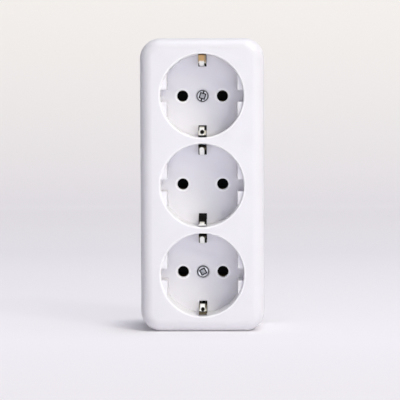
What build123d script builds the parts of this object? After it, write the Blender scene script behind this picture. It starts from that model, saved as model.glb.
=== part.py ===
from build123d import *
import os

# A surface-mounted outlet for a wall: one white moulded cover with three round socket cups in a
# row, over an insulating base that carries the contact strips, the earth bar and the terminals.
# Frame: +Z up along the row of sockets, +X to the right, -Y out of the wall, in millimetres.
# The origin is the centre of the base's back face, which lies on the wall.

# Plug interface: a round cup with two round pins, and an earth clip above and below
CUP_RADIUS = 19.5
CUP_DEPTH = 17.5
PIN_OFFSET = 9.5
PIN_HOLE_RADIUS = 2.65
PIN_RADIUS = 2.4
SOCKET_PITCH = 42.0
STATIONS = {"upper": SOCKET_PITCH, "middle": 0.0, "lower": -SOCKET_PITCH}
SCREWED = ("upper", "lower")

# Housing
DEPTH = 40.0
WIDTH = 59.2
HEIGHT = 138.9
CORNER_RADIUS = 10.0
FACE_EDGE_RADIUS = 5.6
DRAFT_ANGLE = 0.75
WALL = 2.2
RIM_GAP = 0.4

# Cups in the cover, each with four flat guides, two key notches and two slots for its clip
CUP_WALL = 1.6
FLOOR = 1.8
RIM_ROUNDING = 0.6
GUIDE_OFFSET = 16.5
GUIDE_SINK = 1.8
GUIDE_ROUNDING = 0.45
NOTCH_HALF = 2.85
SLOT_HALF = 1.95
SLOT_INNER = 14.0
SLOT_OUTER = 20.3
SLOT_SINK = 0.45

# Pin collars behind the cup floors, ribs, and the cable knock-outs in the end walls
COLLAR_RADIUS = 3.3
COLLAR_LENGTH = 1.0
HOLE_CHAMFER = 0.35
RIB_THICK = 1.2
END_RIB_X = 10.0
KNOCK_HALF = 8.0
KNOCK_HEIGHT = 14.0
KNOCK_POCKET = 3.0
KNOCK_SKIN = 1.05
SCORE_WIDTH = 0.5
SCORE_DEPTH = 0.45

# Levels along Y, from the wall outwards
FACE_Y = -DEPTH
FLOOR_Y = FACE_Y + CUP_DEPTH
FLOOR_BACK_Y = FLOOR_Y + FLOOR
PLATE_Y = -2.0
EARTH_SEAT_Y = -6.0
LOW_WALL_Y = -9.0
TOWER_Y = FLOOR_BACK_Y

# Base: a plate with a lip inside the cover, and the walls of three channels along it
BASE_CLEARANCE = 0.3
LIP = 1.6
LIP_Y = -8.0
INNER_WALL = (4.8, 6.0)
OUTER_WALL = (14.0, 15.2)
CHANNEL_END = (59.8, 61.0)
WELL = (5.0, 6.2)
WALL_SCREW = (20.3, 50.0)
WALL_SCREW_RADIUS = 2.3
WALL_PAD = (4.6, 1.0)
CABLE_SLOT = (8.4, 18.0)
MOUTH_HALF = 8.0
GATE_HALF = 4.5
GATE_Y = PLATE_Y - 1.5
SLIT_GAP = 0.3
TAB_GAP = 0.2
POCKET_GAP = 0.1
SHANK_GAP = 0.35
SLIT_HALF = 8.0
BLIND_Y = PLATE_Y - 0.4

# Shallow reliefs in the base's back: limits in X and Z, repeated on the other sides
RELIEF_DEPTH = 0.7
RELIEF_ROUNDING = 1.5
RELIEFS = ((0.0, 7.0), (10.0, 52.0)), ((13.6, 26.0), (12.5, 42.5)), ((9.5, 25.0), (57.5, 65.0))

# Contact strips on edge, their sprung contacts, and the steel springs around those
STRIP_X = (12.6, 13.4)
STRIP_END = 49.0
JAW_X = 7.2
JAW_SHEET = 0.6
JAW_OUTER = 3.4
JAW_GRIP = PIN_RADIUS - 0.2
JAW_BACK_Y = -13.4
JAW_GRIP_Y = -16.4
JAW_MOUTH_Y = -19.2
JAW_FLARE = 0.5
JAW_BEND = 1.4
JAW_ROOT_Y = PLATE_Y - 1.0
STRIP_NOTCH_HALF = 5.0
STRIP_CORNER = 0.8
SPRING_SHEET = 0.4
SPRING_Y = (-9.6, -13.2)
SPRING_CORNER = 0.85

# Earth bar, flat, with a neck under each clamp
BAR_HALF = 4.2
BAR_THICK = 1.0
BAR_NECK = 3.1
BAR_END = 59.4
BAR_CORNER = 1.5
BAR_NECK_HALF = 3.9

# Earth clips: a leg, a nose that meets the plug, and a tip; a pressed stripe runs up each finger
CLIP_SHEET = 0.6
CLIP_HALF = 3.0
CLIP_LEG = 16.6
CLIP_LEG_Y = FACE_Y + 14.5
CLIP_NOSE = 14.35
CLIP_NOSE_Y = FACE_Y + 8.6
CLIP_TIP = 18.9
CLIP_TIP_Y = FACE_Y + 2.8
CLIP_BENDS = [1.2, 5.0, 3.0]
SHOULDER_GAP = 1.0
FINGER_HALF = 1.8
FINGER_CORNER = 0.6
PRESSING_HALF = 1.15
PRESSING_RISE = 0.35
PRESSING_WALL = 0.45
PRESSING_Z = (12.0, 18.15)
PRESSING_Y = FLOOR_Y + 1.0
DIMPLE_RADIUS = 0.75
DIMPLE_LIFT = 0.35
DIMPLE_PLACE = 0.5

# Terminals, with a saddle clamp on each
TERMINAL_Z = 21.0
TERMINAL_X = 9.8
TAB_HALF = 3.0
TAB_SHORT = 0.5
TAB_THICK = 0.8
CLAMP_HALF = 3.1
CLAMP_REACH = 3.9
CLAMP_THICK = 0.9
CLAMP_LIP = 0.5
CLAMP_LIP_THICK = 0.7
CLAMP_LIP_SHORT = 0.6
CLAMP_ROUNDING = 0.5
CLAMP_HOLE_GAP = 0.15

# Cover screws, their bosses and their square nuts
COVER_SCREW_RADIUS = 1.75
COVER_SCREW_HEAD = 2.85
COVER_SCREW_RISE = 2.0
COVER_SCREW_SINK = 0.8
COVER_SCREW_TURN = {"upper": 73, "lower": 28}
HEAD_CLEARANCE = 0.3
BOSS_RADIUS = 4.0
BOSS_HOLE = 2.1
BOSS_GAP = 1.2
NUT_HALF = 3.0
NUT_THICK = 2.6

# The other screws; a head's recess and crown are fractions of its radius or height
BAR_SCREW_RADIUS = 1.4
BAR_SCREW_HEAD = 2.7
BAR_SCREW_RISE = 1.7
MIDDLE_HOLE = {"upper": BOSS_HOLE, "middle": BAR_SCREW_RADIUS + 0.2, "lower": BOSS_HOLE}
TERMINAL_SCREW_HEAD = 2.9
TERMINAL_SCREW_RISE = 1.9
TERMINAL_SCREW_TURN = (25, 40)
CROSS_REACH = 0.58
CROSS_WIDTH = 0.26
CROSS_CENTRE = 0.3
SLOT_WIDTH = 0.22
HEAD_EDGE = 0.35
HEAD_CROWN = 0.62
CROSS_DEPTH = 0.75
SCREW_POINT = 0.35
COVER_SCREW_END_Y = PLATE_Y - 0.9
TERMINAL_SCREW_END_Y = PLATE_Y - 0.6
BAR_SCREW_END_Y = PLATE_Y - 0.7

# Rivets through the clips and the bar
RIVET_RADIUS = 1.2
RIVET_HEAD = 2.0
RIVET_OFFSET = 8.5
RIVET_RISE = 0.8
RIVET_ROUNDING = 0.5
RIVET_FOOT = 1.7

# Levels that follow from the sheets, and the gaps of a close fit and of nothing
EARTH_TOP_Y = EARTH_SEAT_Y - BAR_THICK
CLIP_WEB_Y = EARTH_TOP_Y - CLIP_SHEET
TIGHT = 0.02
EPS = 0.01


def block(x, y, z):
    """A box between two limits on each axis, given in any order."""
    low = [min(pair) for pair in (x, y, z)]
    size = [abs(pair[1] - pair[0]) for pair in (x, y, z)]
    return Pos(*low) * Box(*size, align=(Align.MIN, Align.MIN, Align.MIN))


def rod(x, z, radius, y_back, y_front):
    """A cylinder along Y, from its wall-side end to its front end."""
    up = Cylinder(radius, y_back - y_front, align=(Align.CENTER, Align.CENTER, Align.MIN))
    return Pos(x, y_back, z) * Rot(90, 0, 0) * up


def both(shape):
    """A shape and its mirror image across X."""
    return shape + mirror(shape, Plane.YZ)


def housing_block(inset):
    """The housing's drafted outer form, or the same form moved inwards by the wall."""
    outline = RectangleRounded(WIDTH - 2 * inset, HEIGHT - 2 * inset, CORNER_RADIUS - inset)
    back = RIM_GAP if inset == 0 else 0
    form = extrude(
        Plane.XZ.offset(back) * outline, amount=DEPTH - inset - back, taper=DRAFT_ANGLE
    )
    front_edges = form.faces().sort_by(Axis.Y)[0].edges()
    return fillet(front_edges, FACE_EDGE_RADIUS - inset)


def guide(side, half):
    """One of a cup's four flat guides, a segment of the circle beside the key notch."""
    top_y = FACE_Y + GUIDE_SINK
    x = (side * GUIDE_OFFSET, side * (CUP_RADIUS + CUP_WALL / 2))
    z = (half * NOTCH_HALF, half * CUP_RADIUS)
    form = block(x, (FLOOR_Y, top_y), z)
    inner_top = form.edges().filter_by(Axis.Z).sort_by(Axis.Y)[:2].sort_by(Axis.X)
    notch_corner = form.edges().filter_by(Axis.Y).sort_by(lambda e: abs(e.center().Z))[:2]
    corner = notch_corner.sort_by(lambda e: abs(e.center().X))[0]
    lead = inner_top[0] if side > 0 else inner_top[-1]
    form = fillet([lead, corner], GUIDE_ROUNDING)
    return form & rod(0, 0, CUP_RADIUS + CUP_WALL / 2, FLOOR_Y, FACE_Y)


def cup_guides():
    """The four guides of one cup, centred on the origin in X and Z."""
    parts = [guide(side, half) for side in (1, -1) for half in (1, -1)]
    return parts[0] + parts[1:]


def knock_out(end):
    """Tools for a cable entry: the pocket inside and the score line outside, at one end."""
    levels = (1, -KNOCK_HEIGHT)
    side = HEIGHT / 2
    pocket_z = (end * (side - KNOCK_POCKET), end * (side - KNOCK_SKIN))
    pocket = block((-KNOCK_HALF, KNOCK_HALF), levels, pocket_z)
    score_z = (end * (side - SCORE_DEPTH), end * (side + 1))
    outside = KNOCK_HALF + SCORE_WIDTH
    score = both(block((KNOCK_HALF, outside), levels, score_z))
    score += block((-outside, outside), (-KNOCK_HEIGHT, -KNOCK_HEIGHT - SCORE_WIDTH), score_z)
    return pocket, score


def cover_ribs():
    """The ribs that tie the cups to the long walls, and the end cups to the end walls."""
    inside = housing_block(WALL / 2)
    front_y = FACE_Y + WALL
    half = RIB_THICK / 2
    ribs = []
    for z in STATIONS.values():
        rib = block((CUP_RADIUS, WIDTH / 2), (FLOOR_BACK_Y, front_y), (z - half, z + half))
        ribs.append(both(rib & inside))
    for end in (1, -1):
        cup_z = end * SOCKET_PITCH
        for x in (-END_RIB_X, END_RIB_X):
            z = (cup_z, end * HEIGHT / 2)
            rib = block((x - half, x + half), (FLOOR_BACK_Y, front_y), z)
            ribs.append((rib & inside) - rod(0, cup_z, CUP_RADIUS, 0, FACE_Y))
    return ribs


def circles_at(shape, y, radius):
    """The round edges of a shape that lie at one level and have one radius."""
    edges = shape.edges().filter_by(GeomType.CIRCLE)
    edges = edges.filter_by(lambda e: abs(e.center().Y - y) < EPS)
    return edges.filter_by(lambda e: abs(e.radius - radius) < EPS)


def make_cover():
    """The one-piece moulded cover: hood, three cups, screw bosses, pin collars and ribs."""
    cover = housing_block(0) - housing_block(WALL)
    for z in STATIONS.values():
        cover += rod(0, z, CUP_RADIUS + CUP_WALL, FLOOR_BACK_Y, FACE_Y + WALL / 2)
    cover += cover_ribs()
    for z in STATIONS.values():
        cover -= rod(0, z, CUP_RADIUS, FLOOR_Y, FACE_Y - 1)
    cover = fillet(circles_at(cover, FACE_Y, CUP_RADIUS), RIM_ROUNDING)
    guides = cup_guides()
    for name, z in STATIONS.items():
        cover += Pos(0, 0, z) * guides
        for x in (-PIN_OFFSET, PIN_OFFSET):
            cover += rod(x, z, COLLAR_RADIUS, FLOOR_BACK_Y + COLLAR_LENGTH, FLOOR_BACK_Y)
            cover -= rod(x, z, PIN_HOLE_RADIUS, 0, FLOOR_Y - 1)
        if name in SCREWED:
            cover += rod(0, z, BOSS_RADIUS, CLIP_WEB_Y - BOSS_GAP, FLOOR_BACK_Y)
            cover -= rod(0, z, BOSS_HOLE, 0, FLOOR_Y - 1)
            seat_y = FLOOR_Y + COVER_SCREW_SINK
            cover -= rod(0, z, COVER_SCREW_HEAD + HEAD_CLEARANCE, seat_y, FLOOR_Y - 1)
        for half in (1, -1):
            reach = (z + half * SLOT_INNER, z + half * SLOT_OUTER)
            levels = (FLOOR_BACK_Y + 1, FACE_Y + SLOT_SINK)
            cover -= block((-SLOT_HALF, SLOT_HALF), levels, reach)
    cover = chamfer(circles_at(cover, FLOOR_Y, PIN_HOLE_RADIUS), HOLE_CHAMFER)
    for end in (1, -1):
        pocket, score = knock_out(end)
        cover -= pocket
        cover -= score
    return cover


def tower(side, z):
    """The walls of one contact well, up to just behind the cup floor, slotted for the strip."""
    x = (side * INNER_WALL[0], side * OUTER_WALL[1])
    inside = (side * INNER_WALL[1], side * OUTER_WALL[0])
    form = block(x, (PLATE_Y, TOWER_Y), (z - WELL[1], z + WELL[1]))
    form -= block(inside, (PLATE_Y, TOWER_Y - 1), (z - WELL[0], z + WELL[0]))
    slit = (side * (STRIP_X[0] - SLIT_GAP), side * (STRIP_X[1] + SLIT_GAP))
    return form - block(slit, (PLATE_Y, TOWER_Y - 1), (z - SLIT_HALF, z + SLIT_HALF))


def terminal_places():
    """X and Z of each terminal screw, and whether it is on the earth bar, by name."""
    places = {}
    for row, z in (("upper", TERMINAL_Z), ("lower", -TERMINAL_Z)):
        places["line_" + row] = (-TERMINAL_X, z, False)
        places["neutral_" + row] = (TERMINAL_X, z, False)
        places["earth_" + row] = (0.0, z, True)
    return places


def base_reliefs():
    """Shallow hollows in the base's back, so that it bears on the wall by its edges and pads."""
    hollows = []
    for (x_low, x_high), (z_low, z_high) in RELIEFS:
        for half in (1, -1):
            z = (half * z_low, half * z_high)
            if x_low == 0:
                sides = [block((-x_high, x_high), (1, -RELIEF_DEPTH), z)]
            else:
                hollow = block((x_low, x_high), (1, -RELIEF_DEPTH), z)
                sides = [hollow, mirror(hollow, Plane.YZ)]
            hollows += [fillet(s.edges().filter_by(Axis.Y), RELIEF_ROUNDING) for s in sides]
    return hollows


def make_base():
    """The insulating base: back plate with a lip, contact channels, wells and the earth seat."""
    width = WIDTH - 2 * (WALL + BASE_CLEARANCE)
    height = HEIGHT - 2 * (WALL + BASE_CLEARANCE)
    radius = CORNER_RADIUS - WALL - BASE_CLEARANCE
    base = extrude(Plane.XZ * RectangleRounded(width, height, radius), amount=-LIP_Y)
    hollow = RectangleRounded(width - 2 * LIP, height - 2 * LIP, radius - LIP)
    base -= extrude(Plane.XZ.offset(-PLATE_Y) * hollow, amount=DEPTH)
    end = CHANNEL_END[1]
    base += block((-INNER_WALL[1], INNER_WALL[1]), (PLATE_Y, EARTH_SEAT_Y), (-end, end))
    for wall in (INNER_WALL, OUTER_WALL):
        base += both(block(wall, (PLATE_Y, LOW_WALL_Y), (-end, end)))
    for half in (1, -1):
        z = (half * CHANNEL_END[0], half * end)
        base += block((-OUTER_WALL[1], OUTER_WALL[1]), (PLATE_Y, LOW_WALL_Y), z)
        lip_z = (half * (height / 2 - LIP - EPS), half * height)
        base -= block((-MOUTH_HALF, MOUTH_HALF), (PLATE_Y, LIP_Y - 1), lip_z)
    for z in STATIONS.values():
        base += both(tower(1, z))
        for half in (1, -1):
            # Pockets for the closed ends of the rivets
            place = z + half * RIVET_OFFSET
            floor_y = EARTH_SEAT_Y + RIVET_RISE + SLIT_GAP
            base -= rod(0, place, RIVET_HEAD + POCKET_GAP, floor_y, EARTH_SEAT_Y - EPS)
    for x, z, earth in terminal_places().values():
        if not earth:
            side = 1 if x > 0 else -1
            seat = (side * INNER_WALL[1], side * (STRIP_X[0] - TAB_GAP))
            top = LOW_WALL_Y + TAB_THICK
            base += block(seat, (PLATE_Y, top), (z - TAB_HALF, z + TAB_HALF))
            # The low wall opens beside each terminal, so that a wire can come in
            gate = (side * OUTER_WALL[0], side * OUTER_WALL[1])
            base -= block(gate, (GATE_Y, LOW_WALL_Y - 1), (z - GATE_HALF, z + GATE_HALF))
        base -= rod(x, z, COVER_SCREW_RADIUS + SHANK_GAP, BLIND_Y, LOW_WALL_Y - 1)
    for name in SCREWED:
        z = STATIONS[name]
        pocket = NUT_HALF + POCKET_GAP
        nut_floor = EARTH_SEAT_Y + NUT_THICK
        base -= block((-pocket, pocket), (nut_floor, EARTH_SEAT_Y - EPS), (z - pocket, z + pocket))
        base -= rod(0, z, BOSS_HOLE, BLIND_Y, nut_floor - EPS)
    base -= rod(0, 0, BAR_SCREW_RADIUS + TIGHT, BLIND_Y, EARTH_SEAT_Y - EPS)
    for x in (-WALL_SCREW[0], WALL_SCREW[0]):
        for z in (-WALL_SCREW[1], WALL_SCREW[1]):
            base += rod(x, z, WALL_PAD[0], PLATE_Y, PLATE_Y - WALL_PAD[1])
            base -= rod(x, z, WALL_SCREW_RADIUS, 1, PLATE_Y - 2)
        slot = Plane.XZ * Pos(x, 0) * SlotOverall(CABLE_SLOT[1], CABLE_SLOT[0], rotation=90)
        base -= extrude(slot, amount=DEPTH / 2, both=True)
    return base - base_reliefs()


def spring_jaw():
    """One wing of a pin contact: a sprung strip that narrows to the pin and flares at its mouth."""
    root_z = JAW_OUTER - JAW_SHEET / 2
    grip_z = JAW_GRIP + JAW_SHEET / 2
    route = FilletPolyline(
        (JAW_ROOT_Y, root_z),
        (JAW_BACK_Y, root_z),
        (JAW_GRIP_Y, grip_z),
        (JAW_MOUTH_Y, root_z + JAW_FLARE),
        radius=JAW_BEND,
    )
    plane = Plane(origin=(JAW_X, 0, 0), x_dir=(0, 1, 0), z_dir=(1, 0, 0))
    return extrude(plane * trace(route, JAW_SHEET), amount=STRIP_X[0] - SPRING_SHEET - JAW_X)


def make_strip():
    """A pole's contact strip: a brass strip on edge, with three sprung contacts and two tabs."""
    strip = block(STRIP_X, (PLATE_Y, LOW_WALL_Y), (-STRIP_END, STRIP_END))
    jaw = spring_jaw()
    pair = jaw + mirror(jaw, Plane.XY)
    back = block((JAW_X, STRIP_X[1]), (JAW_ROOT_Y, JAW_BACK_Y), (-JAW_OUTER, JAW_OUTER))
    inner = JAW_OUTER - JAW_SHEET
    back = fillet(back.edges().filter_by(Axis.Y).sort_by(Axis.X)[-2:], STRIP_CORNER)
    back -= block((JAW_X - 1, STRIP_X[0]), (0, JAW_BACK_Y - 1), (-inner, inner))
    contact = pair + back
    for z in STATIONS.values():
        notch_z = (z - STRIP_NOTCH_HALF, z + STRIP_NOTCH_HALF)
        strip -= block((STRIP_X[0] - 1, STRIP_X[1] + 1), (0, JAW_ROOT_Y), notch_z)
        strip += Pos(0, 0, z) * contact
    for z in (-TERMINAL_Z, TERMINAL_Z):
        tab_x = (INNER_WALL[1] + TAB_SHORT, STRIP_X[1])
        tab = block(tab_x, (LOW_WALL_Y, LOW_WALL_Y + TAB_THICK), (z - TAB_HALF, z + TAB_HALF))
        tab = fillet(tab.edges().filter_by(Axis.Y).sort_by(Axis.X)[:2], STRIP_CORNER)
        hole = rod(TERMINAL_X, z, COVER_SCREW_RADIUS + TIGHT, 0, LOW_WALL_Y - 1)
        strip += tab
        strip -= hole
    return strip


def make_pin_spring():
    """A steel clip around one contact, which presses its two wings together."""
    low, high = SPRING_Y
    outer = JAW_OUTER + SPRING_SHEET
    x = (JAW_X - SPRING_SHEET, STRIP_X[1] + SPRING_SHEET)
    form = block(x, (low, high), (-outer, outer))
    form = fillet(form.edges().filter_by(Axis.Y), SPRING_CORNER)
    form -= block((JAW_X, STRIP_X[1]), (low + 1, high - 1), (-JAW_OUTER, JAW_OUTER))
    mouth = JAW_OUTER - JAW_SHEET
    return form - block((JAW_X - 2, JAW_X + 1), (low + 1, high - 1), (-mouth, mouth))


def make_earth_bar():
    """The flat bar along the middle that joins the earth clips, necked at its two terminals."""
    outline = RectangleRounded(2 * BAR_HALF, 2 * BAR_END, BAR_CORNER)
    bar = extrude(Plane.XZ.offset(-EARTH_SEAT_Y) * outline, amount=BAR_THICK)
    levels = (0, EARTH_TOP_Y - 1)
    for z in (-TERMINAL_Z, TERMINAL_Z):
        neck_z = (z - BAR_NECK_HALF, z + BAR_NECK_HALF)
        bar -= both(block((BAR_NECK, BAR_HALF + 1), levels, neck_z))
        bar -= rod(0, z, COVER_SCREW_RADIUS + TIGHT, *levels)
    for name, z in STATIONS.items():
        bar -= rod(0, z, MIDDLE_HOLE[name], *levels)
        for half in (1, -1):
            bar -= rod(0, z + half * RIVET_OFFSET, RIVET_RADIUS, *levels)
    return bar


def clip_strip():
    """The clip's strip at full width, bent from the middle of its web to one finger's tip."""
    web_y = EARTH_TOP_Y - CLIP_SHEET / 2
    route = FilletPolyline(
        (web_y, 0),
        (web_y, CLIP_LEG),
        (CLIP_LEG_Y, CLIP_LEG),
        (CLIP_NOSE_Y, CLIP_NOSE),
        (CLIP_TIP_Y, CLIP_TIP),
        radius=CLIP_BENDS,
    )
    plane = Plane(origin=(-CLIP_HALF, 0, 0), x_dir=(0, 1, 0), z_dir=(1, 0, 0))
    return extrude(plane * trace(route, CLIP_SHEET), amount=2 * CLIP_HALF)


def clip_blank():
    """The clip's outline seen from the side of a finger: wide behind the cup floor, then narrow."""
    shoulder_y = FLOOR_BACK_Y + SHOULDER_GAP
    end_y = CLIP_TIP_Y - 1.0
    length = shoulder_y - end_y + FINGER_CORNER
    finger = Rectangle(2 * FINGER_HALF, length, align=(Align.CENTER, Align.MIN))
    finger = Pos(0, end_y) * fillet(finger.vertices().sort_by(Axis.Y)[:2], FINGER_CORNER)
    leg = Rectangle(2 * CLIP_HALF, -shoulder_y, align=(Align.CENTER, Align.MAX))
    return extrude(Plane.XY * (finger + leg), amount=CLIP_TIP + 1)


def pressing_zone(half):
    """Where a finger is pressed forward: a round-ended stripe along it, of one half width."""
    length = PRESSING_Z[1] - PRESSING_Z[0]
    middle = PRESSING_Z[1] - half - (length - 2 * half) / 2
    stripe = Pos(0, middle) * SlotOverall(length, 2 * half, rotation=90)
    return extrude(Plane.XZ.offset(-PRESSING_Y) * stripe, amount=PRESSING_Y - CLIP_TIP_Y + 1)


def clip_dimple():
    """The dimple near the end of a finger's pressed stripe, sunk into its sloping face."""
    nose = Vector(0, CLIP_NOSE_Y, CLIP_NOSE)
    tip = Vector(0, CLIP_TIP_Y, CLIP_TIP)
    slope = (tip - nose).normalized()
    facing = Vector(0, -slope.Z, slope.Y)
    front = CLIP_SHEET / 2 - PRESSING_RISE * slope.Y
    return Pos(nose + (tip - nose) * DIMPLE_PLACE + facing * (front + DIMPLE_LIFT)) * Sphere(
        DIMPLE_RADIUS
    )


def make_earth_clip():
    """A U of spring brass: its web lies on the bar and its two fingers reach into the cup."""
    strip = clip_strip() & clip_blank()
    pressed = Pos(0, 0, -PRESSING_RISE) * strip
    behind = Pos(0, 0, CLIP_SHEET - PRESSING_RISE) * strip & pressing_zone(PRESSING_WALL)
    arm = strip - behind + (pressed & pressing_zone(PRESSING_HALF)) - clip_dimple()
    clip = arm + mirror(arm, Plane.XY)
    for half in (1, -1):
        clip -= rod(0, half * RIVET_OFFSET, RIVET_RADIUS, 0, CLIP_WEB_Y - 1)
    return clip


def screw(radius, head_radius, head_height, seat_y, end_y, turn):
    """A raised-head screw along Y with a cross recess, and a slot across two of its arms."""
    edge = HEAD_EDGE * head_height
    crown_y = edge + HEAD_CROWN * (head_height - edge)
    profile = make_face(
        Line((0, 0), (head_radius, 0))
        + Line((head_radius, 0), (head_radius, edge))
        + ThreePointArc(
            (head_radius, edge),
            (HEAD_CROWN * head_radius, crown_y),
            (0, head_height),
        )
        + Line((0, head_height), (0, 0))
    )
    head = revolve(Plane.XZ * profile, Axis.Z)
    arm = 2 * CROSS_REACH * head_radius
    cross_depth = CROSS_DEPTH * head_height
    top = Pos(0, 0, head_height + EPS)
    down = (Align.CENTER, Align.CENTER, Align.MAX)
    for angle in (0, 90):
        cross = Box(arm, CROSS_WIDTH * head_radius, cross_depth, align=down)
        head -= top * Rot(0, 0, angle) * cross
    head -= top * Cylinder(CROSS_CENTRE * head_radius, cross_depth, align=down)
    head -= top * Box(3 * head_radius, SLOT_WIDTH * head_radius, head_height / 2, align=down)
    shank = Cylinder(radius, end_y - seat_y, align=down)
    shank = chamfer(shank.edges().sort_by(Axis.Z)[0], SCREW_POINT * radius)
    return Pos(0, seat_y, 0) * Rot(90, 0, 0) * Rot(0, 0, turn) * (head + shank)


def make_cover_screws():
    """The two screws that pull the cover down onto its nuts, as they were left turned."""
    seat_y = FLOOR_Y + COVER_SCREW_SINK
    end_y = COVER_SCREW_END_Y
    screws = []
    for name, turn in COVER_SCREW_TURN.items():
        form = screw(
            COVER_SCREW_RADIUS, COVER_SCREW_HEAD, COVER_SCREW_RISE, seat_y, end_y, turn
        )
        screws.append(Pos(0, 0, STATIONS[name]) * form)
    return screws


def make_cover_nuts():
    """Square nuts held in the base under the earth bar, one for each cover screw."""
    levels = (EARTH_SEAT_Y + NUT_THICK, EARTH_SEAT_Y)
    nuts = []
    for name in SCREWED:
        z = STATIONS[name]
        nut = block((-NUT_HALF, NUT_HALF), levels, (z - NUT_HALF, z + NUT_HALF))
        nuts.append(nut - rod(0, z, COVER_SCREW_RADIUS + TIGHT, 0, EARTH_SEAT_Y - 1))
    return nuts


def make_earth_rivets():
    """Six rivets through the clip webs and the bar, with a domed head and a flat closed end."""
    rivets = []
    for z in STATIONS.values():
        for half in (1, -1):
            place = z + half * RIVET_OFFSET
            top = rod(0, place, RIVET_HEAD, CLIP_WEB_Y, CLIP_WEB_Y - RIVET_RISE)
            rim = top.edges().filter_by(GeomType.CIRCLE).sort_by(Axis.Y)[0]
            top = fillet(rim, RIVET_ROUNDING)
            shank = rod(0, place, RIVET_RADIUS - TIGHT, EARTH_SEAT_Y, CLIP_WEB_Y)
            foot = rod(0, place, RIVET_FOOT, EARTH_SEAT_Y + RIVET_RISE, EARTH_SEAT_Y)
            rivets.append(top + shank + foot)
    return rivets


def make_clamp(x, z, earth):
    """A saddle clamp on a terminal tab: a square plate with a lip down each side of the tab."""
    tab_y = EARTH_TOP_Y if earth else LOW_WALL_Y
    top = tab_y - CLAMP_THICK
    plate = block((-CLAMP_HALF, CLAMP_HALF), (tab_y, top), (-CLAMP_REACH, CLAMP_REACH))
    plate = fillet(plate.edges().filter_by(Axis.X).sort_by(Axis.Y)[:2], CLAMP_ROUNDING)
    lip_x = (-CLAMP_HALF, CLAMP_HALF - CLAMP_LIP_SHORT)
    for half in (1, -1):
        lip_z = (half * (CLAMP_REACH - CLAMP_LIP_THICK), half * CLAMP_REACH)
        plate += block(lip_x, (tab_y + CLAMP_LIP, tab_y), lip_z)
    plate -= rod(0, 0, COVER_SCREW_RADIUS + CLAMP_HOLE_GAP, 0, top - 1)
    turn = 90 if earth else (180 if x < 0 else 0)
    return Pos(x, 0, z) * Rot(0, turn, 0) * plate


def make_terminal_screws():
    """The six terminal screws, each down through its clamp into the tab or the bar."""
    screws = []
    for count, (x, z, earth) in enumerate(terminal_places().values()):
        seat_y = (EARTH_TOP_Y if earth else LOW_WALL_Y) - CLAMP_THICK
        end_y = TERMINAL_SCREW_END_Y
        turn = TERMINAL_SCREW_TURN[0] + TERMINAL_SCREW_TURN[1] * count
        form = screw(
            COVER_SCREW_RADIUS, TERMINAL_SCREW_HEAD, TERMINAL_SCREW_RISE, seat_y, end_y, turn
        )
        screws.append(Pos(x, 0, z) * form)
    return screws


def make_bar_screw():
    """The short screw that holds the earth bar down in the middle of the base."""
    turn = TERMINAL_SCREW_TURN[0]
    return screw(
        BAR_SCREW_RADIUS, BAR_SCREW_HEAD, BAR_SCREW_RISE, CLIP_WEB_Y, BAR_SCREW_END_Y, turn
    )


def write(shape, name):
    """Writes one piece, or one group of like fasteners, as its own file."""
    whole = Compound(children=list(shape)) if isinstance(shape, list) else shape
    export_step(whole, os.path.join("parts", name + ".step"))


def main():
    os.makedirs("parts", exist_ok=True)
    write(make_cover(), "cover")
    write(make_base(), "base")
    strip = make_strip()
    write(strip, "neutral_strip")
    write(mirror(strip, Plane.YZ), "line_strip")
    spring = make_pin_spring()
    clip = make_earth_clip()
    for name, z in STATIONS.items():
        write(Pos(0, 0, z) * spring, "neutral_spring_" + name)
        write(Pos(0, 0, z) * mirror(spring, Plane.YZ), "line_spring_" + name)
        drilled = clip - rod(0, 0, MIDDLE_HOLE[name], 0, CLIP_WEB_Y - 1)
        write(Pos(0, 0, z) * drilled, "earth_clip_" + name)
    write(make_earth_bar(), "earth_bar")
    write(make_earth_rivets(), "earth_rivets")
    write(make_cover_screws(), "cover_screws")
    write(make_cover_nuts(), "cover_nuts")
    write(make_terminal_screws(), "terminal_screws")
    write(make_bar_screw(), "bar_screw")
    for name, (x, z, earth) in terminal_places().items():
        write(make_clamp(x, z, earth), "clamp_" + name)


main()
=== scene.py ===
import math

import bmesh
import bpy
from mathutils import Matrix, Vector


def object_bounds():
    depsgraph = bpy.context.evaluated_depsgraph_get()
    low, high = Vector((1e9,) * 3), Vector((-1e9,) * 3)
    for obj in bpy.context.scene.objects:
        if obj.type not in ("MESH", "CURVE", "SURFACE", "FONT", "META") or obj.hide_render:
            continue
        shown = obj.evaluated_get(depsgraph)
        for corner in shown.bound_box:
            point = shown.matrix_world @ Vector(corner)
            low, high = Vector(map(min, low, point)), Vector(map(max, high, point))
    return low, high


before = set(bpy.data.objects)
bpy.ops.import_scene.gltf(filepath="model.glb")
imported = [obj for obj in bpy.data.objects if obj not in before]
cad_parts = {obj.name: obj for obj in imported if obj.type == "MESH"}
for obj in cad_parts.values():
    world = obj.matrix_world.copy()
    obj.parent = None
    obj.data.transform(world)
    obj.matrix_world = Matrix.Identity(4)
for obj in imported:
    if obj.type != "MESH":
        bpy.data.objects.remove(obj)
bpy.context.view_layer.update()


# The base is one moulding of dark filled thermoset. It is what gets screwed to the wall, and
# its channels hold every metal piece. Its faces are matt, with the faint speckle of the filler
# and a slightly glossier skin where the moulding met the polished tool.
BASE_DARK = (0.010, 0.010, 0.010, 1)
BASE_LIGHT = (0.022, 0.021, 0.020, 1)

# A roughness is given where its pattern is 0 and where it is 1, a relief as a strength and a
# depth in metres, and the size of a pattern as its cells in a metre
BASE_ROUGHNESS = (0.75, 0.90)
BASE_RELIEF = (0.25, 0.00008)
FILLER_CELLS = 2600
FILLER_SHOWS = (0.45, 0.75)
FILLER_SHARE = 0.7
FILLER_HEIGHT = 0.5
SKIN_CELLS = 60
PIT_CELLS = 900

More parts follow.
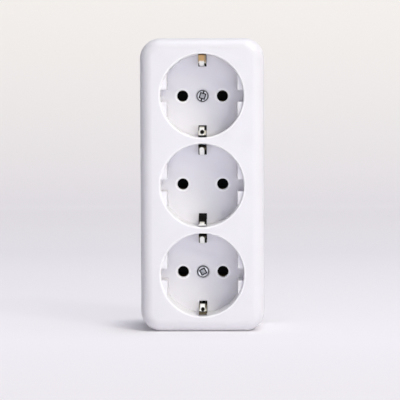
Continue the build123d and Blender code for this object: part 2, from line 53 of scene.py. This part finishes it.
# Sockets of a Mix node share their names, so they go by number: the factor, then for colours
# and for vectors the two inputs and the result. A ramp's new stop starts in its middle.
MIX_FACTOR = 0
MIX_COLOURS = (6, 7, 2)
MIX_VECTORS = (4, 5, 1)
RAMP_MIDDLE = 0.5


class Finish:
    """One socket in a material's nodes. Arithmetic on it adds the nodes that work it out."""

    def __init__(self, tree, output=None):
        self.tree = tree
        self.output = output

    def node(self, kind, settings=None, inputs=None, out=0):
        """Any node, from its type, its settings, and the values or links of its sockets."""
        made = self.tree.nodes.new(kind)
        for name, value in (settings or {}).items():
            if name == "stops":
                ramp = made.color_ramp
                while len(ramp.elements) < len(value):
                    ramp.elements.new(RAMP_MIDDLE)
                for element, (place, colour) in zip(ramp.elements, value):
                    element.position = place
                    element.color = colour
            else:
                setattr(made, name, value)
        for name, value in (inputs or {}).items():
            if isinstance(value, Finish):
                self.tree.links.new(value.output, made.inputs[name])
            else:
                made.inputs[name].default_value = value
        return Finish(self.tree, made.outputs[out])

    def number(self, operation, *values):
        """What a Math node works out from these values."""
        return self.node("ShaderNodeMath", {"operation": operation}, dict(enumerate(values)))

    def vector(self, operation, *values, out=0):
        """What a Vector Math node works out from these values."""
        return self.node(
            "ShaderNodeVectorMath", {"operation": operation}, dict(enumerate(values)), out
        )

    def __add__(self, other):
        return self.number("ADD", self, other)

    def __sub__(self, other):
        return self.number("SUBTRACT", self, other)

    def __mul__(self, other):
        return self.number("MULTIPLY", self, other)

    def __rsub__(self, other):
        return self.number("SUBTRACT", other, self)

    __radd__ = __add__
    __rmul__ = __mul__

    def size(self):
        """This number without its sign."""
        return self.number("ABSOLUTE", self)

    def root(self):
        """The square root of this number."""
        return self.number("SQRT", self)

    def smaller(self, other):
        """This number or the other, whichever is less."""
        return self.number("MINIMUM", self, other)

    def larger(self, other):
        """This number or the other, whichever is more."""
        return self.number("MAXIMUM", self, other)

    def nearest(self, step, most):
        """The multiple of step that is nearest to this number, held between -most and most."""
        held = self.node("ShaderNodeClamp", inputs={"Value": self, "Min": -most, "Max": most})
        return self.number("ROUND", held * (1 / step)) * step

    def between(self, low, high):
        """0 below low, 1 above high, smooth on the way."""
        return self.node(
            "ShaderNodeMapRange",
            {"interpolation_type": "SMOOTHSTEP"},
            {"Value": self, "From Min": low, "From Max": high},
        )

    def spread(self, low, high):
        """From low to high, as this goes from 0 to 1."""
        return self * (high - low) + low

    def along(self, stops):
        """The colour of a ramp at this number, from pairs of a place and a colour."""
        return self.node("ShaderNodeValToRGB", {"stops": stops}, {"Fac": self})

    def mix(self, kind, sockets, first, second):
        """One of two colours or vectors: the first where this is 0, the second where it is 1."""
        one, other, result = sockets
        inputs = {MIX_FACTOR: self, one: first, other: second}
        return self.node("ShaderNodeMix", {"data_type": kind}, inputs, result)

    def tint(self, first, second):
        """A colour, first where this is 0 and second where it is 1."""
        return self.mix("RGBA", MIX_COLOURS, first, second)

    def turn(self, first, second):
        """A direction, first where this is 0 and second where it is 1."""
        return self.mix("VECTOR", MIX_VECTORS, first, second)

    def axis(self, index):
        """One of this vector's three parts: 0 across, 1 into the wall, 2 up."""
        return self.node("ShaderNodeSeparateXYZ", inputs={"Vector": self}, out=index)

    def joined(self, y, z):
        """A vector from this number and two more."""
        return self.node("ShaderNodeCombineXYZ", inputs={"X": self, "Y": y, "Z": z})

    def stretched(self, factors):
        """This vector with each axis multiplied, for streaks and brushing."""
        return self.vector("MULTIPLY", self, factors)

    def noise(self, cells, detail=3.0, roughness=0.5):
        """Cloudy noise over this vector, with so many cells in a metre."""
        inputs = {"Vector": self, "Scale": cells, "Detail": detail, "Roughness": roughness}
        return self.node("ShaderNodeTexNoise", inputs=inputs)

    def bump(self, strength, depth, normal=None):
        """A normal bent by this height, where a height of 1 is the depth in metres."""
        inputs = {"Height": self, "Strength": strength, "Distance": depth}
        if normal is not None:
            inputs["Normal"] = normal
        return self.node("ShaderNodeBump", inputs=inputs)


def start_finish(name):
    """A new material with its shader, and the place on the object as its first socket."""
    material = bpy.data.materials.new(name)
    material.use_nodes = True
    tree = material.node_tree
    place = Finish(tree).node("ShaderNodeTexCoord", out="Object")
    return material, tree.nodes["Principled BSDF"], place


def set_shader(shader, **values):
    """Sets the shader's sockets: links for what varies, plain values for what doesn't."""
    for name, value in values.items():
        socket = shader.inputs[name.replace("_", " ")]
        if isinstance(value, Finish):
            value.tree.links.new(value.output, socket)
        else:
            socket.default_value = value


def dress(material, *nodes):
    """Puts a material on CAD nodes."""
    for name in nodes:
        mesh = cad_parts[name].data
        mesh.materials.clear()
        mesh.materials.append(material)


thermoset, shader, place = start_finish("dark_thermoset")
filler = place.noise(FILLER_CELLS, detail=2).between(*FILLER_SHOWS)
skin = place.noise(SKIN_CELLS, detail=4)
set_shader(
    shader,
    Base_Color=(filler * FILLER_SHARE + skin * (1 - FILLER_SHARE)).tint(BASE_DARK, BASE_LIGHT),
    Roughness=skin.spread(*BASE_ROUGHNESS),
    Specular_IOR_Level=0.3,
    Normal=(filler * FILLER_HEIGHT + place.noise(PIT_CELLS)).bump(*BASE_RELIEF),
)
dress(thermoset, "base")


# Line and neutral each have one strip of stamped brass on edge, folded into three sprung
# contacts. The earth bar and its rivets are painted darker, as shade, so that no lit brass shows
# through the clip slots. All of it is bare, with the fine lengthwise lines of rolling and a
# brown bloom of age in patches, and painted shade darkens the brass at the mouths of the
# contacts.
BRASS_BRIGHT = (0.80, 0.60, 0.28, 1)
BRASS_DULL_SHADE = (0.30, 0.26, 0.18, 1)
BRASS_AGED = (0.24, 0.18, 0.10, 1)
BRASS_MOUTH_SHADE = (0.045, 0.032, 0.018, 1)
BRASS_ROUGHNESS = 0.2
BRASS_RELIEF = (0.2, 0.00003)
ROLLING_CELLS = 5200
ROLLING_DRAWN = (1.0, 1.0, 0.03)
ROLLING_MATT = 0.12
BLOOM_CELLS = 220
BLOOM_SHOWS = (0.42, 0.68)
BLOOM_MATT = 0.22
MOUTH_LEVELS = (-0.0185, -0.0150)
MOUTH_MATT = 0.3


def brass_finish(name, colour, *nodes):
    """Rolled brass on CAD nodes, in its colour where the bloom is thin."""
    material, shader, place = start_finish(name)
    rolling = place.stretched(ROLLING_DRAWN).noise(ROLLING_CELLS, detail=2)
    bloom = place.noise(BLOOM_CELLS, detail=5, roughness=0.65).between(*BLOOM_SHOWS)
    # Painted shade: the brass darkens towards the contact mouths, next to the pin holes
    mouth = 1 - place.axis(1).between(*MOUTH_LEVELS)
    matt = bloom * BLOOM_MATT + rolling * ROLLING_MATT + BRASS_ROUGHNESS
    set_shader(
        shader,
        Base_Color=mouth.tint(bloom.tint(colour, BRASS_AGED), BRASS_MOUTH_SHADE),
        Metallic=1.0,
        Roughness=matt + mouth * MOUTH_MATT,
        Normal=rolling.bump(*BRASS_RELIEF),
    )
    dress(material, *nodes)


brass_finish("rolled_brass", BRASS_BRIGHT, "line_strip", "neutral_strip")
# Painted shade: the earth bar and its rivets are darker, so that no lit brass glints in the
# slots
brass_finish("shaded_dull_brass", BRASS_DULL_SHADE, "earth_bar", "earth_rivets")


# A clip of blued spring steel goes round each pin contact and keeps its wings pressed on the
# pin. It is bent from thin strip, dark from its tempering, with a straw tinge near the bends.
SPRING_BLUE = (0.16, 0.17, 0.21, 1)
SPRING_STRAW = (0.30, 0.24, 0.17, 1)
SPRING_ROUGHNESS = (0.28, 0.43)
SPRING_RELIEF = (0.15, 0.00003)
SPRING_GRAIN_CELLS = 3000
TEMPER_CELLS = 500
TEMPER_SHOWS = (0.35, 0.7)

spring, shader, place = start_finish("blued_spring_steel")
temper = place.noise(TEMPER_CELLS).between(*TEMPER_SHOWS)
set_shader(
    shader,
    Base_Color=temper.tint(SPRING_BLUE, SPRING_STRAW),
    Metallic=1.0,
    Roughness=temper.spread(*SPRING_ROUGHNESS),
    Normal=place.noise(SPRING_GRAIN_CELLS, detail=2).bump(*SPRING_RELIEF),
)
for row in ("upper", "middle", "lower"):
    dress(spring, f"line_spring_{row}", f"neutral_spring_{row}")


# Each cup has a U of nickel plated brass riveted on the earth bar. Its two fingers come up
# through the cup floor, lean in to press on the plug and lean out again at their tips. Their
# colours are painted light with some tarnish: a painted highlight along the stripe pressed up
# along each finger, and painted shade and reflections beside it.
CLIP_METAL_AND_LIGHT = {
    "bright": (1.0, 0.995, 0.965, 1),
    "pale": (0.66, 0.64, 0.55, 1),
    "gold": (0.72, 0.47, 0.22, 1),
    "sand": (0.50, 0.37, 0.22, 1),
    "olive": (0.13, 0.11, 0.07, 1),
    "black": (0.006, 0.005, 0.004, 1),
}
CUP_CENTRES = {"upper": 0.042, "middle": 0.0, "lower": -0.042}

# How far from its cup's centre a finger's nose and its tip are, and how ragged the edges of the
# painted wear and light are
NOSE_REACH = 0.0140
TIP_REACH = 0.0195
CLIP_CLOUD_CELLS = 900
MARK_RAGGED = 0.06
NOISE_MIDDLE = 0.5

# The stripe: where it lies across the finger, how its edge fades, and where it ends round
STRIPE_PLACE = -0.0002
STRIPE_FADE = (0.0009, 0.0014)
STRIPE_ROUND_REACH = 0.0167
STRIPES_CUT_ROUND = (("middle", 1), ("lower", 1))

# The painted highlights, shade and reflections, with some tarnish, along each finger's stripe
# and its sides, from its nose at 0 to its tip at 1. Beside a row's name, 1 is the finger at the
# top of the cup and -1 is the one at the bottom.
STRIPE_WEAR_AND_LIGHT = {
    ("upper", 1): [
        (0.0, "bright"), (0.36, "bright"), (0.48, "gold"), (0.9, "gold"), (1.0, "sand"),
    ],
    ("upper", -1): [
        (0.05, "black"), (0.13, "pale"), (0.22, "bright"), (0.78, "bright"), (0.84, "black"),
    ],
    ("middle", 1): [(0.0, "pale"), (0.06, "bright"), (1.0, "bright")],
    ("middle", -1): [
        (0.56, "black"), (0.63, "pale"), (0.74, "bright"), (0.92, "bright"), (1.0, "olive"),
    ],
    ("lower", 1): [(0.0, "pale"), (0.1, "bright"), (1.0, "bright")],
    ("lower", -1): [
        (0.05, "black"), (0.12, "bright"), (0.62, "bright"), (0.67, "black"), (0.74, "olive"),
    ],
}
SIDE_WEAR_AND_LIGHT = {
    ("upper", 1): [
        (0.0, "olive"), (0.05, "black"), (0.2, "black"), (0.27, "pale"), (0.42, "sand"),
    ],
    ("upper", -1): [
        (0.0, "black"), (0.35, "black"), (0.5, "pale"), (0.76, "pale"), (0.83, "black"),
    ],
    ("middle", 1): [(0.0, "black"), (0.4, "black"), (0.6, "olive"), (0.75, "black")],
    ("middle", -1): [(0.76, "black"), (0.83, "bright"), (0.93, "bright"), (1.0, "olive")],
    ("lower", 1): [
        (0.0, "pale"), (0.1, "black"), (0.5, "black"), (0.65, "olive"), (0.75, "black"),
    ],
    ("lower", -1): [
        (0.0, "black"), (0.3, "olive"), (0.6, "pale"), (0.68, "black"), (0.75, "olive"),
    ],
}

# Painted shade in the dimple of a bottom finger: how far out it sits, its radius and that of its
# rim
DIMPLES = {"upper": (0.0170, 0.0008, 0.0012), "lower": (0.0167, 0.0007, 0.0011)}

CUP_MIDDLE_FADE = (-0.001, 0.001)
SCRATCH_CELLS = 6000
SCRATCH_DRAWN = (1.0, 0.05, 0.05)
CLIP_RELIEF = (0.15, 0.00003)
CLIP_ROUGHNESS = 0.5
CLIP_CLOUD_MATT = 0.2
CLIP_SCRATCH_MATT = 0.1
POLISH_SHOWS = (0.1, 0.5)
POLISH_GLOSS = 0.3
POLISH_METAL = 0.1


def wear_and_light_colours(reach, stops):
    """The painted light and tarnish colours of a finger along its reach."""
    return reach.along([(place, CLIP_METAL_AND_LIGHT[metal]) for place, metal in stops])


def clip_finish(row, centre):
    """The material of one clip, with the painted light and tarnish of its two fingers."""
    material, shader, place = start_finish(f"nickel_brass_{row}")
    scratches = place.stretched(SCRATCH_DRAWN).noise(SCRATCH_CELLS, detail=2)
    cloud = place.noise(CLIP_CLOUD_CELLS, detail=4, roughness=0.6)
    height = place.axis(2) - centre
    ragged = (cloud - NOISE_MIDDLE) * MARK_RAGGED
    reach = (height.size() - NOSE_REACH) * (1 / (TIP_REACH - NOSE_REACH)) + ragged
    aside = place.axis(0) - STRIPE_PLACE
    past = (height.size() - STRIPE_ROUND_REACH).larger(0.0)
    worn_and_lit = {}
    for half in (1, -1):
        finger = (row, half)
        beside = aside.size()
        if finger in STRIPES_CUT_ROUND:
            beside = (aside * aside + past * past).root()
        stripe = wear_and_light_colours(reach, STRIPE_WEAR_AND_LIGHT[finger])
        sides = wear_and_light_colours(reach, SIDE_WEAR_AND_LIGHT[finger])
        worn_and_lit[half] = beside.between(*STRIPE_FADE).tint(stripe, sides)
    if row in DIMPLES:
        dimple_reach, shade_radius, rim_radius = DIMPLES[row]
        below = height + dimple_reach
        across = place.axis(0)
        to_dimple = (below * below + across * across).root()
        # Painted shade fills the dimple
        painted_shade = 1 - to_dimple.between(shade_radius, rim_radius)
        worn_and_lit[-1] = painted_shade.tint(worn_and_lit[-1], CLIP_METAL_AND_LIGHT["black"])
    colour = height.between(*CUP_MIDDLE_FADE).tint(worn_and_lit[-1], worn_and_lit[1])
    polish = colour.axis(0).between(*POLISH_SHOWS)
    matt = cloud * CLIP_CLOUD_MATT + scratches * CLIP_SCRATCH_MATT + CLIP_ROUGHNESS
    set_shader(
        shader,
        Base_Color=colour,
        Metallic=polish * POLISH_METAL,
        Roughness=matt - polish * POLISH_GLOSS,
        Specular_IOR_Level=0.05,
        Normal=scratches.bump(*CLIP_RELIEF),
    )
    dress(material, f"earth_clip_{row}")


for row, centre in CUP_CENTRES.items():
    clip_finish(row, centre)


# Screws, nuts and the terminals' clamping plates are steel, zinc plated and blue passivated:
# a cold grey with faint cloudy bands. The heads of the two cover screws, in the upper and the
# lower cup, are rubbed paler, and painted shade darkens their edges and driver recesses.
ZINC_PALE = (0.78, 0.82, 0.88, 1)
ZINC_BLUE = (0.55, 0.60, 0.68, 1)
ZINC_PAINTED_SHADE = (0.018, 0.019, 0.024, 1)
ZINC_ROUGHNESS = (0.30, 0.45)
ZINC_RELIEF = (0.12, 0.00003)
ZINC_GRAIN_CELLS = 4000
PLATING_CELLS = 900
PLATING_SHOWS = (0.35, 0.7)
SHADE_MATT = 0.4
SHADED_METAL = 0.55

HEAD_PALE = (0.97, 0.98, 1.0, 1)
HEAD_BLUE = (0.78, 0.82, 0.88, 1)

# How far each cover screw was turned, clockwise from upright, and how far from its middle the
# upper one's slot reaches, past the square recess
HEAD_TURN = {"upper": math.radians(17), "lower": math.radians(62)}
SLOT_REACH = {"upper": 0.0024}

# The painted shade: a ring near the head's edge, a line round the square recess, and a film
# inside it
SHADE_LINE = 0.00028
RING_RADIUS = 0.002654
RING_FADE = (0.000224, 0.000448)
RING_SHADE = 0.88
RECESS_HALF = 0.00125
RECESS_SHADE = 0.5
OUTLINE_FADE = (0.000168, 0.00042)
SLOT_FADE = (0.00028, 0.000448)


def head_marks(place, row):
    """Painted shade on one head: round its edge, in the recess's outline and in its slot's ends.
    """
    turn = HEAD_TURN[row]
    across = place.axis(0)
    upright = place.axis(2) - CUP_CENTRES[row]
    radius = (across * across + upright * upright).root()
    first = (across * math.cos(turn) - upright * math.sin(turn)).size()
    second = (across * math.sin(turn) + upright * math.cos(turn)).size()
    square = first.larger(second)
    ring = 1 - (radius - RING_RADIUS).size().between(*RING_FADE)
    outline = 1 - (square - RECESS_HALF).size().between(*OUTLINE_FADE)
    film = 1 - square.between(RECESS_HALF - SHADE_LINE, RECESS_HALF)
    marks = (ring * RING_SHADE).larger(outline).larger(film * RECESS_SHADE)
    if row in SLOT_REACH:
        slot = 1 - first.between(*SLOT_FADE)
        outside = second.between(RECESS_HALF, RECESS_HALF + SHADE_LINE)
        within = 1 - second.between(SLOT_REACH[row], SLOT_REACH[row] + SHADE_LINE)
        marks = marks.larger(slot * outside * within)
    return marks


def screw_shade(place):
    """The painted shade on both cover screws' heads."""
    return head_marks(place, "upper").larger(head_marks(place, "lower"))


def zinc_finish(name, nodes, pale=ZINC_PALE, blue=ZINC_BLUE, painted_shade=None):
    """Zinc plate on CAD nodes, dark and matt where shade is painted."""
    material, shader, place = start_finish(name)
    plating = place.noise(PLATING_CELLS, detail=4).between(*PLATING_SHOWS)
    colour = plating.tint(pale, blue)
    roughness = plating.spread(*ZINC_ROUGHNESS)
    metal = 1.0
    if painted_shade is not None:
        shade_mark = painted_shade(place)
        colour = shade_mark.tint(colour, ZINC_PAINTED_SHADE)
        roughness = roughness + shade_mark * SHADE_MATT
        metal = SHADED_METAL
    set_shader(
        shader,
        Base_Color=colour,
        Metallic=metal,
        Roughness=roughness,
        Normal=place.noise(ZINC_GRAIN_CELLS, detail=2).bump(*ZINC_RELIEF),
    )
    dress(material, *nodes)


clamps = []
for pole in ("line", "neutral", "earth"):
    clamps += [f"clamp_{pole}_upper", f"clamp_{pole}_lower"]
zinc_finish("blue_zinc", ["cover_nuts", "terminal_screws", "bar_screw"])
zinc_finish("worn_zinc_shaded", ["cover_screws"], HEAD_PALE, HEAD_BLUE, screw_shade)
zinc_finish("zinc_clamp", clamps)


# The cover is one moulding of white plastic with a soft gloss: hood, cups, guides and screw
# bosses together. Its skin has the faint orange peel of the tool's finish and a trace of
# cloudiness in the colour, and handling has dulled it a little in patches.
COVER_WHITE = (0.815, 0.800, 0.835, 1)
COVER_CLOUD = (0.790, 0.776, 0.812, 1)
COVER_HIGHLIGHT = (0.99, 0.985, 0.995, 1)
COVER_ROUGHNESS = (0.30, 0.42)
COVER_RELIEF = (0.06, 0.00005)
CLOUD_CELLS = 45
PEEL_CELLS = 1400
HANDLED_CELLS = 160
HANDLED_SHOWS = (0.4, 0.75)

# The cups: their spacing, how far up and down they go, the circle round which their rims are
# rounded into the face, and the place of their pin holes
CUP_PITCH = 0.042
CUPS_END = 0.05
RIM_RADIUS = 0.0201
RIM_LEVEL = -0.0394
PIN_PLACE = 0.0095

# Paler plastic round the pin holes and, less so, on the rims and walls of the cups: painted
# highlights on the rings and rims, and painted light that lifts the shade on the walls
PIN_RING_FADE = (0.00319, 0.00391)
RIM_MIDDLE = 0.0198
RIM_FADE = (0.0003, 0.0008)
RIM_LEVELS = (-0.0397, -0.0385)
RIM_HIGHLIGHT = 0.5
WALL_LIGHTENING = 0.6

# Where the plastic counts as a cup's wall or rim: how nearly it faces as one does, and between
# which distances from the cup's centre and in front of which level it lies
WALL_MATCH = (0.7, 0.8)
WALL_STARTS = (0.0193, 0.0194)
WALL_ENDS = (0.0201, 0.0202)
WALL_FOOT = (-0.0227, -0.0225)

plastic, shader, place = start_finish("white_moulding")
across = place.axis(0)
level = place.axis(1)
height = place.axis(2)
upright = height - height.nearest(CUP_PITCH, CUPS_END)
to_centre = (across * across + upright * upright).root()
beside = across.size() - PIN_PLACE
to_pin = (beside * beside + upright * upright).root()

# The CAD mesh's own normals lean along the cup walls near their rims, which shades a crease,
# so the normals there are worked out from the rounding that the wall and the rim share.
radial = to_centre - RIM_RADIUS
axial = (level - RIM_LEVEL).smaller(0.0)
rounded = (across * radial).joined(axial * to_centre, upright * radial)
rounded = rounded.vector("NORMALIZE", rounded)
facing = place.node("ShaderNodeNewGeometry", out="True Normal")
match = facing.vector("DOT_PRODUCT", facing, rounded, out="Value")
on_wall = match.between(*WALL_MATCH) * to_centre.between(*WALL_STARTS)
on_wall = on_wall * (1 - to_centre.between(*WALL_ENDS))
on_wall = on_wall * (1 - level.between(*WALL_FOOT))
usual = place.node("ShaderNodeNewGeometry", out="Normal")

ring = 1 - to_pin.between(*PIN_RING_FADE)
rim = 1 - (to_centre - RIM_MIDDLE).size().between(*RIM_FADE)
rim = rim * (1 - level.between(*RIM_LEVELS))
# Painted highlights on the pin-hole rings and rims, and painted light on the cup walls
painted_light = ring.larger(rim * RIM_HIGHLIGHT).larger(on_wall * WALL_LIGHTENING)
cloud = place.noise(CLOUD_CELLS, detail=4, roughness=0.6)
peel = place.noise(PEEL_CELLS, detail=2)
handled = place.noise(HANDLED_CELLS, detail=5, roughness=0.7).between(*HANDLED_SHOWS)
set_shader(
    shader,
    Base_Color=painted_light.tint(cloud.tint(COVER_WHITE, COVER_CLOUD), COVER_HIGHLIGHT),
    Roughness=handled.spread(*COVER_ROUGHNESS),
    Subsurface_Weight=0.15,
    Subsurface_Radius=(1.0, 0.9, 1.0),
    Subsurface_Scale=0.002,
    Normal=peel.bump(*COVER_RELIEF, on_wall.turn(usual, rounded)),
)
dress(plastic, "cover")


# The camera stands in front of the outlet at the photograph's angle: a little above its middle,
# just right of its centre line, and tilted by a fifth of a degree. It has no depth of field.
VIEW_YAW = math.radians(1.08)
VIEW_PITCH = math.radians(3.0)
VIEW_ROLL = math.radians(-0.22)
VIEW_DISTANCE = 0.849
VIEW_SIDEWAYS = -0.0014
VIEW_RAISED = -0.0078
VIEW_AIM = Vector((0, -0.020, 0))
FOCAL_PIXELS = 1771
FRAME_PIXELS = 400
SENSOR_WIDTH = 36

level_right = Vector((math.cos(VIEW_YAW), math.sin(VIEW_YAW), 0))
level_forward = Vector((-math.sin(VIEW_YAW), math.cos(VIEW_YAW), 0))
level_up = Vector((0, 0, 1))
forward = math.cos(VIEW_PITCH) * level_forward - math.sin(VIEW_PITCH) * level_up
pitched_up = math.sin(VIEW_PITCH) * level_forward + math.cos(VIEW_PITCH) * level_up
right = math.cos(VIEW_ROLL) * level_right + math.sin(VIEW_ROLL) * pitched_up
up = math.cos(VIEW_ROLL) * pitched_up - math.sin(VIEW_ROLL) * level_right
stand = VIEW_AIM - VIEW_DISTANCE * forward + VIEW_SIDEWAYS * right + VIEW_RAISED * up

lens = bpy.data.cameras.new("camera")
lens.sensor_width = SENSOR_WIDTH
lens.lens = SENSOR_WIDTH * FOCAL_PIXELS / FRAME_PIXELS
camera = bpy.data.objects.new("camera", lens)
camera.matrix_world = (
    Matrix.Translation(stand) @ Matrix((right, up, -forward)).transposed().to_4x4()
)
bpy.context.scene.collection.objects.link(camera)
bpy.context.scene.camera = camera


# The outlet stands on a sweep of pale paper: a table that curves up into a backdrop with no
# edge to see. The table slopes as the outlet's drafted lower side does, so that it stands flat.
SIDE_DRAFT = math.radians(0.75)
SIDE_START = -0.0004
SWEEP_HALF_WIDTH = 2.5
TABLE_FRONT = -1.5
CURVE_START = 0.9
CURVE_RADIUS = 0.8
CURVE_STEPS = 40
SWEEP_TOP = 3.0

slope = math.tan(SIDE_DRAFT)
profile = [(away, (SIDE_START - away) * slope) for away in (TABLE_FRONT, CURVE_START)]
for step in range(1, CURVE_STEPS + 1):
    angle = step / CURVE_STEPS * math.pi / 2
    away = CURVE_START + CURVE_RADIUS * math.sin(angle)
    profile.append((away, CURVE_RADIUS * (1 - math.cos(angle))))
profile.append((CURVE_START + CURVE_RADIUS, SWEEP_TOP))

shape = bmesh.new()
table_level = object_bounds()[0].z
edges = []
for away, raised in profile:
    start = shape.verts.new((-SWEEP_HALF_WIDTH, away, table_level + raised))
    end = shape.verts.new((SWEEP_HALF_WIDTH, away, table_level + raised))
    edges.append((start, end))
for (start, end), (next_start, next_end) in zip(edges, edges[1:]):
    shape.faces.new((start, end, next_end, next_start)).smooth = True
sweep_mesh = bpy.data.meshes.new("sweep")
shape.to_mesh(sweep_mesh)
shape.free()
sweep = bpy.data.objects.new("sweep", sweep_mesh)
bpy.context.scene.collection.objects.link(sweep)

# The paper is lit and shaded near the outlet, where its shadow falls. Further off, what the
# camera and reflections see of it glows in its own pale colour, which lights nothing.
PAPER = (0.90, 0.88, 0.91, 1)
PAPER_FRONT = -0.25
PAPER_LENGTH = 1.80
PAPER_GLOW = {
    -0.23: (0.80, 0.77, 0.82, 1),
    -0.08: (0.84, 0.81, 0.87, 1),
    0.50: (0.72, 0.70, 0.75, 1),
    1.00: (0.73, 0.70, 0.74, 1),
    1.50: (0.97, 0.93, 0.88, 1),
}
PAPER_ROUGHNESS = (0.85, 0.95)
FIBRE_CELLS = 900
GLOW_SHARE = (0.12, 0.8)
SHADOW_REACH = 0.028
FOOT_HALF_WIDTH = 0.026
FOOT_HALF_DEPTH = 0.018
NO_LIGHT = (0, 0, 0, 1)


def seen_itself(start):
    """1 for what the camera, a gloss or glass shows, and 0 for what lights the object."""
    sight = start.node("ShaderNodeLightPath", out="Is Camera Ray")
    for kind in ("Is Glossy Ray", "Is Transmission Ray"):
        sight = sight + start.node("ShaderNodeLightPath", out=kind)
    return sight


paper, shader, place = start_finish("pale_sweep")
depth = place.axis(1)
stops = [((at - PAPER_FRONT) / PAPER_LENGTH, colour) for at, colour in PAPER_GLOW.items()]
glow = ((depth - PAPER_FRONT) * (1 / PAPER_LENGTH)).along(stops)
aside = (place.axis(0).size() - FOOT_HALF_WIDTH).larger(0.0)
before = ((depth + FOOT_HALF_DEPTH).size() - FOOT_HALF_DEPTH).larger(0.0)
to_foot = (aside * aside + before * before).root()
share = seen_itself(place) * to_foot.between(0.0, SHADOW_REACH).spread(*GLOW_SHARE)
set_shader(
    shader,
    Base_Color=share.tint(PAPER, NO_LIGHT),
    Emission_Color=share.tint(NO_LIGHT, glow),
    Emission_Strength=1.0,
    Roughness=place.noise(FIBRE_CELLS).spread(*PAPER_ROUGHNESS),
)
sweep.data.materials.append(paper)


# The room round the table is dim for what lights the outlet, and pale where the camera or a
# reflection sees it past the sweep.
ROOM_LIGHT = (0.0689, 0.0698, 0.0770, 1)
ROOM_SEEN = (0.90, 0.89, 0.92, 1)

world = bpy.data.worlds.new("studio")
world.use_nodes = True
bpy.context.scene.world = world
set_shader(
    world.node_tree.nodes["Background"],
    Color=seen_itself(Finish(world.node_tree)).tint(ROOM_LIGHT, ROOM_SEEN),
    Strength=1.0,
)


# Soft rectangular lamps, all aimed at the outlet's middle: a wide one overhead and two strips
# in front are cool, and the three keys and the fill, all on the right, are warm. Each has its
# place, its width and height, its power in watts and its colour.
COOL = (0.925, 0.953, 1.100)
WARM = (1.085, 1.045, 0.887)
LAMPS = {
    "overhead": ((0.5, -0.35, 2.0), (1.8, 1.6), 23.0, COOL),
    "front": ((0.1, -1.3, -0.02), (0.8, 0.1), 2.28, COOL),
    "front_side": ((0.4, -1.3, -0.02), (0.8, 0.1), 1.85, COOL),
    "right": ((1.4, -1.6, 0.4), (0.8, 0.5), 2.05, WARM),
    "key": ((1.2, -1.4, 1.6), (0.35, 0.35), 14.1, WARM),
    "high_key": ((0.7, -1.1, 1.8), (0.35, 0.35), 4.5, WARM),
    "low_key": ((0.8, -1.6, 0.9), (0.3, 0.3), 3.8, WARM),
}

for name, (stands, size, power, colour) in LAMPS.items():
    light = bpy.data.lights.new(name, "AREA")
    light.shape = "RECTANGLE"
    light.size, light.size_y = size
    light.energy = power
    light.color = colour
    lamp = bpy.data.objects.new(name, light)
    lamp.location = stands
    lamp.rotation_euler = (-Vector(stands)).to_track_quat("-Z", "Y").to_euler()
    bpy.context.scene.collection.objects.link(lamp)

bpy.context.scene.view_settings.view_transform = "Standard"
